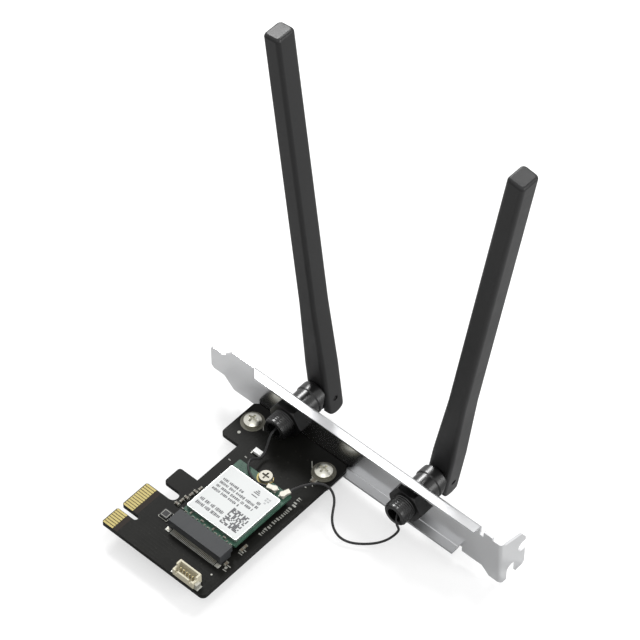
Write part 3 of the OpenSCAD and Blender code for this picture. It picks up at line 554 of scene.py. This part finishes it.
def add_stroke(bm, start, end, width, low, high):
    """A straight line of print from start to end, [x, y]."""
    along = (Vector(end) - Vector(start)).normalized()
    side = Vector((-along.y, along.x)) * width / 2
    corners = [Vector(start) - side, Vector(end) - side, Vector(end) + side, Vector(start) + side]
    add_plate(bm, corners, low, high)


AXIS_TURNS = {"Z": Matrix(), "Y": Matrix.Rotation(math.radians(-90), 4, "X")}
WELD_GAP = 0.001


def tag_old(bm):
    """Tags every vertex, so that the ones made afterwards can be told apart."""
    for vert in bm.verts:
        vert.tag = True


def move_new(bm, centre, axis):
    """Moves the untagged vertices from the z axis to an axis through a centre."""
    made = [vert for vert in bm.verts if not vert.tag]
    bmesh.ops.transform(bm, matrix=Matrix.Translation(mm(*centre)) @ AXIS_TURNS[axis], verts=made)
    return made


def add_turned(bm, profile, centre, steps, axis="Z"):
    """A shape turned from a profile of (radius, height) points about an axis through centre."""
    tag_old(bm)
    verts = [bm.verts.new(mm(radius, 0, height)) for radius, height in profile]
    edges = [bm.edges.new(pair) for pair in zip(verts, verts[1:])]
    bmesh.ops.spin(bm, geom=verts + edges, cent=(0, 0, 0), axis=(0, 0, 1), angle=math.tau,
                   steps=steps, use_merge=True)
    made = move_new(bm, centre, axis)
    bmesh.ops.remove_doubles(bm, verts=made, dist=WELD_GAP * MM)


# a thread's ridge: its half widths as shares of the pitch, and how deep its foot is sunk
THREAD_FOOT = 0.42
THREAD_CREST = 0.06
THREAD_SINK = 0.05


def add_thread(bm, radius, depth, pitch, low, high, centre, axis, steps):
    """A helical ridge standing `depth` out to `radius`, from low to high along the axis."""
    foot, crest = pitch * THREAD_FOOT, pitch * THREAD_CREST
    root = radius - depth - THREAD_SINK
    tag_old(bm)
    verts = [bm.verts.new(mm(r, 0, low + z))
             for r, z in ((root, -foot), (radius, -crest), (radius, crest), (root, foot))]
    face = bm.faces.new(verts)
    turns = (high - low) / pitch
    count = int(turns * steps)
    bmesh.ops.spin(bm, geom=[face] + list(face.edges) + verts, cent=(0, 0, 0), axis=(0, 0, 1),
                   angle=turns * math.tau, steps=count, dvec=mm(0, 0, (high - low) / count))
    move_new(bm, centre, axis)


# Bracket, board and screws

EDGE_BAND = 0.08
EDGE_REACH = 0.2

refine("bracket", "bracket_sheet", width=0.1)
board = refine("circuit_board", "board_panel", width=0.06)
# the board's far edge comes closer to the plate, so that no light shows between them
for vert in board.data.vertices:
    if vert.co.y > (BOARD_EDGE - EDGE_BAND) * MM:
        vert.co.y += EDGE_REACH * MM
refine("module_board", "module_panel", width=0.04)
for side in SIDES:
    refine(side + "_board_screw", side + "_pan_screw", width=0.07)

# print is sunk a little into what carries it, and stands a little out of it
PRINT_SINK = 0.004
PRINT_RISE = 0.01
SILK_RISE = 0.012
SILK_LOW = BOARD_TOP - PRINT_SINK
SILK_HIGH = BOARD_TOP + SILK_RISE
SILK_LINE = 0.22
# the dim row of blocks: where it starts and ends, and a triangle's two sides
ROW_START, ROW_END = 20.6, 39.2
ROW_NEAR, ROW_FAR = 39.4, 40.9
TRIANGLE_SHARE = 0.25
# a block of the row: its room along the row and its share of it, its middle and its length across
BLOCK_ROOM = (0.5, 1.1)
BLOCK_SHARE = 0.7
BLOCK_MIDDLE = (40.0, 40.4)
BLOCK_LENGTH = (0.9, 1.5)
WIDE_GAP_SHARE = 0.2
WIDE_GAP, FINE_GAP = 0.7, 0.22
# marks beside the header, the socket and the regulator: x, y and the size along each
LARGE_MARKS = ((40.5, 11.4, 1.6, 0.3), (40.5, 12.3, 1.0, 0.5), (40.5, 13.2, 1.6, 0.3),
               (41.1, 3.6, 1.4, 0.35), (40.8, 4.6, 0.8, 0.9), (41.1, 5.6, 1.4, 0.35))
SMALL_MARKS_AT = ((15.3, 12.4), (15.6, 15.9), (15.9, 19.5), (38.0, 43.9), (16.2, 40.2), (13.1, 36.0))
SMALL_MARK = (0.9, 0.35)


def add_frame(bm, corner, opposite, low, high):
    """Four lines of print round the rectangle between two corners, [x, y]."""
    (x, y), (far_x, far_y) = corner, opposite
    corners = [(x, y), (far_x, y), (far_x, far_y), (x, far_y)]
    for start, end in zip(corners, corners[1:] + corners[:1]):
        add_stroke(bm, start, end, SILK_LINE, low, high)


def add_block_row(bm, rng):
    """A row of plain blocks and triangles along the far edge of the board."""
    y = ROW_START
    while y < ROW_END:
        room = rng.uniform(*BLOCK_ROOM)
        if rng.random() < TRIANGLE_SHARE:
            add_plate(bm, [(ROW_NEAR, y), (ROW_FAR, y + room / 2), (ROW_NEAR, y + room)],
                      SILK_LOW, SILK_HIGH)
        else:
            add_slab(bm, (rng.uniform(*BLOCK_MIDDLE), y + room / 2),
                     (rng.uniform(*BLOCK_LENGTH), room * BLOCK_SHARE), SILK_LOW, SILK_HIGH)
        y += room + (WIDE_GAP if rng.random() < WIDE_GAP_SHARE else FINE_GAP)


def make_board_print():
    """White lines, dots and rows of plain blocks on the board, with none of the real lettering."""
    bright, dim = bmesh.new(), bmesh.new()
    for start, end in (((9.6, 55.6), (13.1, 51.7)), ((32.8, 52.9), (39.6, 45.5))):
        add_stroke(bright, start, end, SILK_LINE, SILK_LOW, SILK_HIGH)
    for x, y, radius, steps in ((7.8, 46.1, 0.55, 20), (39.2, -0.2, 0.3, 16)):
        add_turned(bright, [(0, SILK_LOW), (radius, SILK_LOW), (radius, SILK_HIGH), (0, SILK_HIGH)],
                   (x, y, 0), steps)
    # one frame round the regulator and one on it
    add_frame(bright, (11.5, 5.2), (15, 8.7), SILK_LOW, SILK_HIGH)
    add_frame(dim, (12.1, 5.85), (14.4, 8.05), CHIP_TOP - PRINT_SINK, CHIP_TOP + PRINT_RISE)
    add_block_row(dim, random.Random(7))
    for x, y, wide, deep in LARGE_MARKS:
        add_slab(dim, (x, y), (wide, deep), SILK_LOW, SILK_HIGH)
    for place in SMALL_MARKS_AT:
        add_slab(dim, place, SMALL_MARK, SILK_LOW, SILK_HIGH)
    for name, bm, material in (("board_silk", bright, SILK_WHITE), ("board_silk_dim", dim, SILK_DIM)):
        make_piece(name, bm, "card", "solder_mask_black", material)


# the bare band along x, its two spans along y beside the notch, and its two faces' heights
BAND_START, BAND_END = 4.55, 6.3
BAND_SPANS = ((-7.9, -1.25), (1.25, 11.9))
BAND_FACES = (BOARD_TOP, -BOARD_TOP - 0.01)
BAND_SINK, BAND_RISE = 0.002, 0.012


def make_bare_band():
    """Bare fibre behind the contacts on both sides, where the solder mask stops."""
    bm = bmesh.new()
    for low, high in BAND_SPANS:
        for z in BAND_FACES:
            add_box(bm, (BAND_START, low, z - BAND_SINK), (BAND_END, high, z + BAND_RISE))
    make_piece("bare_band", bm, "card", "solder_mask_black", BARE_FIBRE)


# fields of the board without small plated holes, each from its low to its high corner
KEEP_OUT = [(-1, -9, 11.6, 13), (15.8, 2.2, 42.5, 37.8), (30, -8.2, 43.2, -3), (11, 4.8, 15.4, 22.8),
            (3, 47.4, 13.2, 57), (33.8, 45.6, 43.2, 57), (15.6, 41, 20, 45), (37, 9, 43, 16),
            (11.5, -9, 43.2, -7.4), (0, 12, 11.9, 24), (41.6, -9, 43.2, 57), (0, 54.5, 43.2, 57),
            (0, 23, 13.4, 45.5)]
VIA_XS, VIA_YS = (4, 42), (-7, 55)
VIA_COUNT = 32
VIA_SPACING = 1.3
VIA_BORE_R, VIA_RIM_R, VIA_FOOT_R = 0.14, 0.3, 0.34
VIA_STEP = 0.012


def make_vias():
    """Small plated holes scattered over the free field, seen on both faces of the board."""
    rng = random.Random(19)
    bm = bmesh.new()
    placed = []
    while len(placed) < VIA_COUNT:
        x, y = rng.uniform(*VIA_XS), rng.uniform(*VIA_YS)
        if any(a < x < c and b < y < d for a, b, c, d in KEEP_OUT):
            continue
        if any(math.hypot(x - p, y - q) < VIA_SPACING for p, q in placed):
            continue
        placed.append((x, y))
        for face, step in ((BOARD_TOP, VIA_STEP), (-BOARD_TOP, -VIA_STEP)):
            add_turned(bm, [(VIA_BORE_R, face - step), (VIA_BORE_R, face + step),
                            (VIA_RIM_R, face + step), (VIA_FOOT_R, face - step)], (x, y, 0), 12)
    make_piece("board_vias", bm, "card", "solder_mask_black", VIA_DARK)


make_board_print()
make_bare_band()
make_vias()

SCREW_THREAD_R = 1.45
SCREW_THREAD_DEPTH = 0.2
SCREW_PITCH = 0.5
SCREW_THREAD_LOW, SCREW_THREAD_HIGH = -3.3, -1.8


def make_screw_threads():
    """The threads of the two board screws, which show under the bracket's ears."""
    for side, x in SCREW_XS.items():
        bm = bmesh.new()
        add_thread(bm, SCREW_THREAD_R, SCREW_THREAD_DEPTH, SCREW_PITCH, SCREW_THREAD_LOW,
                   SCREW_THREAD_HIGH, (x, SCREW_Y, 0), axis="Z", steps=24)
        piece = make_piece(side + "_screw_thread", bm, "card", "screw_steel")
        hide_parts(side + "_board_screw")


make_screw_threads()

# Radio module

refine("shield_can", "can_shell", width=0.12)
refine("module_label", "label_film", width=0.02, segments=1)
module_screw = refine("module_screw", "module_pan_screw", width=0.06)
module_screw.data.materials[0] = SCREW_DULL

PRINT_LOW = LABEL_TOP - PRINT_SINK
PRINT_HIGH = LABEL_TOP + PRINT_RISE
# the lines of print: left end, right end, height on the label and the tallest bar
PRINT_LINES = ((19.2, 27.5, 26.9, 1.15), (33.3, 34.8, 26.9, 1.15), (19.2, 35.1, 25.35, 1.15),
               (19.2, 34.8, 23.7, 1.15), (18.9, 30.1, 22.1, 1.15), (18.9, 28.8, 16.8, 1.35),
               (18.8, 29.0, 14.9, 1.35))
# bars of print: how many in a group, their width, their share of a line's height and their gaps
BARS = (3, 7)
BAR_WIDTH = (0.22, 0.5)
BAR_SHARE = (0.62, 1.0)
BAR_GAP = (0.12, 0.22)
WORD_GAP = (0.35, 0.6)
LINE_MARGIN = 0.3
# the block of squares: its low corner, its cells a side, a cell's size, and how many are filled
SQUARES_AT = (29.4, 13.8)
SQUARES = 14
SQUARE = 0.5
FILLED_SHARE = 0.58
SQUARE_SHARE = 0.96
# the two plain marks: four bars under each other, and five pale fields
MARK_BARS_X = 30.9
MARK_BARS = ((30.5, 1.0), (29.9, 1.7), (29.3, 2.3), (28.2, 2.3))
MARK_BAR_HIGH = 0.34
PALE_FIELDS_AT = ((34.8, 30.1), (35.8, 30.1), (34.8, 29.2), (35.8, 29.2), (35.3, 28.2))
PALE_FIELD = (0.75, 0.6)


def add_words(bm, rng, left, right, y, tall):
    """A line of short plain bars in groups, like print too small to read."""
    x = left
    while x < right - LINE_MARGIN:
        for _ in range(rng.randint(*BARS)):
            wide = rng.uniform(*BAR_WIDTH)
            high = tall * rng.uniform(*BAR_SHARE)
            if x + wide > right:
                break
            add_slab(bm, (x + wide / 2, y), (wide, high), PRINT_LOW, PRINT_HIGH)
            x += wide + rng.uniform(*BAR_GAP)
        x += rng.uniform(*WORD_GAP)


def add_squares(bm, rng):
    """A block of squares, filled at random."""
    for row in range(SQUARES):
        for column in range(SQUARES):
            if rng.random() < FILLED_SHARE:
                centre = (SQUARES_AT[0] + SQUARE * (column + 0.5), SQUARES_AT[1] + SQUARE * (row + 0.5))
                add_slab(bm, centre, (SQUARE * SQUARE_SHARE, SQUARE * SQUARE_SHARE), PRINT_LOW,
                         PRINT_HIGH)


def make_label_print():
    """Lines of bars, a block of random squares and two plain marks, in place of the real print."""
    rng = random.Random(3)
    dark, pale = bmesh.new(), bmesh.new()
    for left, right, y, tall in PRINT_LINES:
        add_words(dark, rng, left, right, y, tall)
    add_squares(dark, rng)
    for y, wide in MARK_BARS:
        add_slab(dark, (MARK_BARS_X, y), (wide, MARK_BAR_HIGH), PRINT_LOW, PRINT_HIGH)
    for place in PALE_FIELDS_AT:
        add_slab(pale, place, PALE_FIELD, PRINT_LOW, PRINT_HIGH)
    for name, bm, material in (("label_print", dark, PRINT_GREY), ("label_marks", pale, PRINT_PALE)):
        make_piece(name, bm, "card", "label_paper", material)


# small parts: middle, (length, width, height), and whether its length lies along y
BOARD_CHIPS = ([((12.85 + 0.3 * i, 12.35 + 1.8 * i), (1.6, 0.8, 0.7), i % 2) for i in range(6)]
               + [((39.85, y), (1.6, 0.8, 0.6), 1) for y in (5.7, 12.7, 14.3)]
               + [((38.7, 47.15), (2, 1.4, 0.9), 0)])
# a row across the module, where one part in three is larger and stands farther in: y and size
MODULE_ROW_X = 18.6
MODULE_STEP = 18.8 / 12
MODULE_ROW_COUNT = 13
FINE_PART = (10.392, (0.6, 0.3, 0.3))
LARGE_PART = (11.052, (1, 0.5, 0.5))
MODULE_CHIPS = []
for i in range(MODULE_ROW_COUNT):
    y, size = LARGE_PART if i % 3 == 1 else FINE_PART
    MODULE_CHIPS.append(((MODULE_ROW_X + MODULE_STEP * i, y), size, i % 2))
PROCESSOR = ((22.4, 17.8), (31.4, 26.8), 0.9)
# a metal cap's share of the length, how far the body reaches into it, and the body's share of width
CAP_SHARE = 0.22
CAP_LAP = 0.2
BODY_SHARE = 0.94
CHIP_LIFT = 0.02
BODY_DROP = 0.03
# the solder under a cap: how far it is moved out, how much longer and wider it is, and its height
PAD_OUT, PAD_LONGER, PAD_WIDER, PAD_HIGH = 0.05, 0.2, 0.16, 0.07
FINE_ROUND = 0.05


def add_chip(bodies, ends, pads, at, size, turned, floor):
    """A small part: its body, the metal cap on each end, and the solder under the caps."""
    x, y = at
    length, width, height = size
    cap = length * CAP_SHARE
    boxes = [(bodies, 0, length - 2 * cap * (1 - CAP_LAP), width * BODY_SHARE, floor + CHIP_LIFT,
              floor + height - BODY_DROP)]
    for way in (1, -1):
        middle = way * (length - cap) / 2
        boxes.append((ends, middle, cap, width, floor + CHIP_LIFT, floor + height))
        boxes.append((pads, middle + way * PAD_OUT, cap + PAD_LONGER, width + PAD_WIDER, floor,
                      floor + PAD_HIGH))
    for bm, middle, long, wide, low, high in boxes:
        centre = (x, y + middle) if turned else (x + middle, y)
        add_slab(bm, centre, (wide, long) if turned else (long, wide), low, high)


def make_small_parts():
    """The small parts of the board and the module, with metal caps and solder."""
    for node, chips, floor in (("chip_parts", BOARD_CHIPS, BOARD_TOP),
                               ("module_parts", MODULE_CHIPS, MODULE_TOP)):
        bodies, ends, pads = bmesh.new(), bmesh.new(), bmesh.new()
        for at, size, turned in chips:
            add_chip(bodies, ends, pads, at, size, turned, floor)
        if node == "module_parts":
            corner, opposite, height = PROCESSOR
            add_box(bodies, (*corner, floor), (*opposite, floor + height))
        round_edges(ends, keen_edges(ends), FINE_ROUND)
        body = make_piece(node.replace("parts", "bodies"), bodies, "card", "chip_body")
        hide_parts(node)
        for name, bm in (("ends", ends), ("solder", pads)):
            piece = make_piece(node.replace("parts", name), bm, "card", "tinned_plating", CAP_DULL)
            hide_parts(node)


make_label_print()
make_small_parts()

# Socket, header and lamp

refine("socket_housing", "socket_body", width=0.08)
refine("header_housing", "header_body", width=0.08)
refine("header_tabs", "header_feet", width=0.06)

# rows of solder: the first one's middle, the step to the next, how many, their size and height
SOLDER_ROWS = (((11.6, 5.85), (0, 0.75), 4, (0.5, 0.3), 0.15),
               ((14.9, 5.85), (0, 0.75), 4, (0.5, 0.3), 0.15),
               ((19, 3.1), (0.5, 0), 37, (0.3, 1.0), 0.09),
               ((17.65, 3.4), (20.7, 0), 2, (1.7, 1.5), 0.28),
               ((16.4, 43), (3.2, 0), 2, (0.35, 1.5), 0.25),
               ((32, -3.5), (1.25, 0), 5, (0.55, 1.2), 0.12),
               ((29.8, -6.55), (9.7, 0), 2, (1.5, 2.3), 0.12))


def make_solder():
    """Solder on the board under the feet of the socket, the header, the lamp and the regulator."""
    bm = bmesh.new()
    for (x, y), (step_x, step_y), count, size, height in SOLDER_ROWS:
        for i in range(count):
            add_slab(bm, (x + step_x * i, y + step_y * i), size, BOARD_TOP, BOARD_TOP + height)
    round_edges(bm, keen_edges(bm), FINE_ROUND)
    make_piece("board_solder", bm, "card", "tinned_plating", SOLDER)


make_solder()

# Antennas

BUSHING_THREAD_DEPTH = 0.22
BUSHING_PITCH = 0.75
BUSHING_CHAMFER = 0.35
FLANGE_CHAMFER = 0.2
TIP_DEPTH = 3.0
TIP_ANGLE = 22.0
TIP_ROUND = 0.55
BLADE_ANGLE = 30.0
BLADE_ROUND = 0.12
ROD_RIM = 0.3
ROD_DISH = 0.45
ROD_SIDES = 12


def make_bushing(side):
    """The bushing turned anew, with a real thread on its stem."""
    centre = (ANTENNA_XS[side], 0, ANTENNA_Z)
    root = BUSHING_R - BUSHING_THREAD_DEPTH
    bm = bmesh.new()
    add_turned(bm, [(BUSHING_BORE_R, BUSHING_TIP), (root - BUSHING_CHAMFER, BUSHING_TIP),
                    (root, BUSHING_TIP + BUSHING_CHAMFER), (root, PLATE_OUT), (FLANGE_R, PLATE_OUT),
                    (FLANGE_R, FLANGE_END - FLANGE_CHAMFER), (FLANGE_R - FLANGE_CHAMFER, FLANGE_END),
                    (BUSHING_BORE_R, FLANGE_END), (BUSHING_BORE_R, BUSHING_TIP)],
               centre, steps=64, axis="Y")
    add_thread(bm, BUSHING_R, BUSHING_THREAD_DEPTH, BUSHING_PITCH, BUSHING_TIP + BUSHING_PITCH,
               PLATE_IN, centre, axis="Y", steps=48)
    piece = make_piece(side + "_threaded_bushing", bm, "card", "antenna_black")
    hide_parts(side + "_bushing")


def make_blade(side):
    """The blade with fine edges, and a wider round about the flat of its tip."""
    bm = node_shape(side + "_blade")
    hinge = sum(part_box(side + "_hinge_pin"), Vector()) / 2
    far = max((vert.co - hinge).length for vert in bm.verts)
    tip = [edge for edge in keen_edges(bm, TIP_ANGLE)
           if min((vert.co - hinge).length for vert in edge.verts) > far - TIP_DEPTH * MM]
    round_edges(bm, tip, TIP_ROUND, segments=4)
    round_edges(bm, keen_edges(bm, BLADE_ANGLE), BLADE_ROUND, segments=3)
    piece = make_piece(side + "_antenna_blade", bm, side + "_antenna", "blade_black")
    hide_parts(side + "_blade")


def make_hinge_rod(side):
    """The hinge pin with a dished, dark end on each side."""
    bm = node_shape(side + "_hinge_pin")
    flats = [face for face in bm.faces if len(face.verts) > ROD_SIDES]
    bmesh.ops.inset_individual(bm, faces=flats, thickness=ROD_RIM * MM, depth=-ROD_DISH * MM)
    piece = make_piece(side + "_hinge_rod", bm, side + "_antenna", "nut_black")
    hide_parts(side + "_hinge_pin")


for side in SIDES:
    make_bushing(side)
    make_hinge_rod(side)
    refine(side + "_nut", side + "_hex_nut", width=0.22, segments=3)
    refine(side + "_base", side + "_knuckle", width=0.16)
    make_blade(side)
    cap = refine(side + "_plug", side + "_cable_cap", width=0.08)
    cap.data.materials[0] = CAP_CREAM
    cable, route = CABLES[side]

# Floor and light

FLOOR_GAP = 0.02
FLOOR_Z = min(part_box("bracket")[0].z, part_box("right_pigtail")[0].z) - FLOOR_GAP * MM
FLOOR_SIZE = 3.0
FLOOR_GLOW = 0.54
FLOOR_TONE = 0.47
WORLD_LEVEL = 0.58
CENTRE = mm(40, 60, 40)
# each lamp's place in millimetres, its width in metres and its power
LAMPS = (("back_lamp", (-690, 612, 735), 0.36, 8.5),
         ("high_lamp", (23, 587, 915), 0.26, 3.0),
         ("front_lamp", (330, -440, 920), 0.7, 1.9),
         ("side_lamp", (900, 250, 350), 0.5, 5.2))


def make_floor():
    """A pale floor that the camera sees as white, with the object's shadow on it."""
    bm = bmesh.new()
    bmesh.ops.create_grid(bm, x_segments=1, y_segments=1, size=FLOOR_SIZE,
                          matrix=Matrix.Translation((0, 0, FLOOR_Z)))
    mesh = bpy.data.meshes.new("pale_floor")
    bm.to_mesh(mesh)
    bm.free()
    floor = bpy.data.objects.new("pale_floor", mesh)
    bpy.context.collection.objects.link(floor)
    made = bpy.data.materials.new("pale_floor")
    made.use_nodes = True
    tree = made.node_tree
    shader = tree.nodes["Principled BSDF"]
    shader.inputs["Base Color"].default_value = (FLOOR_TONE, FLOOR_TONE, FLOOR_TONE, 1)
    shader.inputs["Roughness"].default_value = 0.9
    shader.inputs["Specular IOR Level"].default_value = 0.1
    shader.inputs["Emission Color"].default_value = (1, 1, 1, 1)
    rays = add_node(tree, "ShaderNodeLightPath")
    tree.links.new(math_node(tree, "MULTIPLY", rays.outputs["Is Camera Ray"], FLOOR_GLOW),
                   shader.inputs["Emission Strength"])
    mesh.materials.append(made)


def make_lamps():
    """Soft round lamps, aimed at the middle of the object."""
    for name, place, size, power in LAMPS:
        data = bpy.data.lights.new(name, "AREA")
        data.shape = "DISK"
        data.size = size
        data.energy = power
        place_aimed(name, data, mm(*place), CENTRE)


def make_world():
    """A white world to the camera and in reflections, which lights at a lower level."""
    world = bpy.data.worlds.new("studio")
    bpy.context.scene.world = world
    world.use_nodes = True
    tree = world.node_tree
    sky = tree.nodes["Background"]
    sky.inputs["Color"].default_value = (1, 1, 1, 1)
    rays = add_node(tree, "ShaderNodeLightPath")
    seen = math_node(tree, "MAXIMUM", rays.outputs["Is Camera Ray"], rays.outputs["Is Glossy Ray"])
    seen = math_node(tree, "MAXIMUM", seen, rays.outputs["Is Transmission Ray"])
    level = math_node(tree, "MULTIPLY", seen, 1 - WORLD_LEVEL)
    tree.links.new(math_node(tree, "ADD", level, WORLD_LEVEL), sky.inputs["Strength"])


make_floor()
make_lamps()
make_world()
bpy.context.scene.view_settings.view_transform = "Standard"
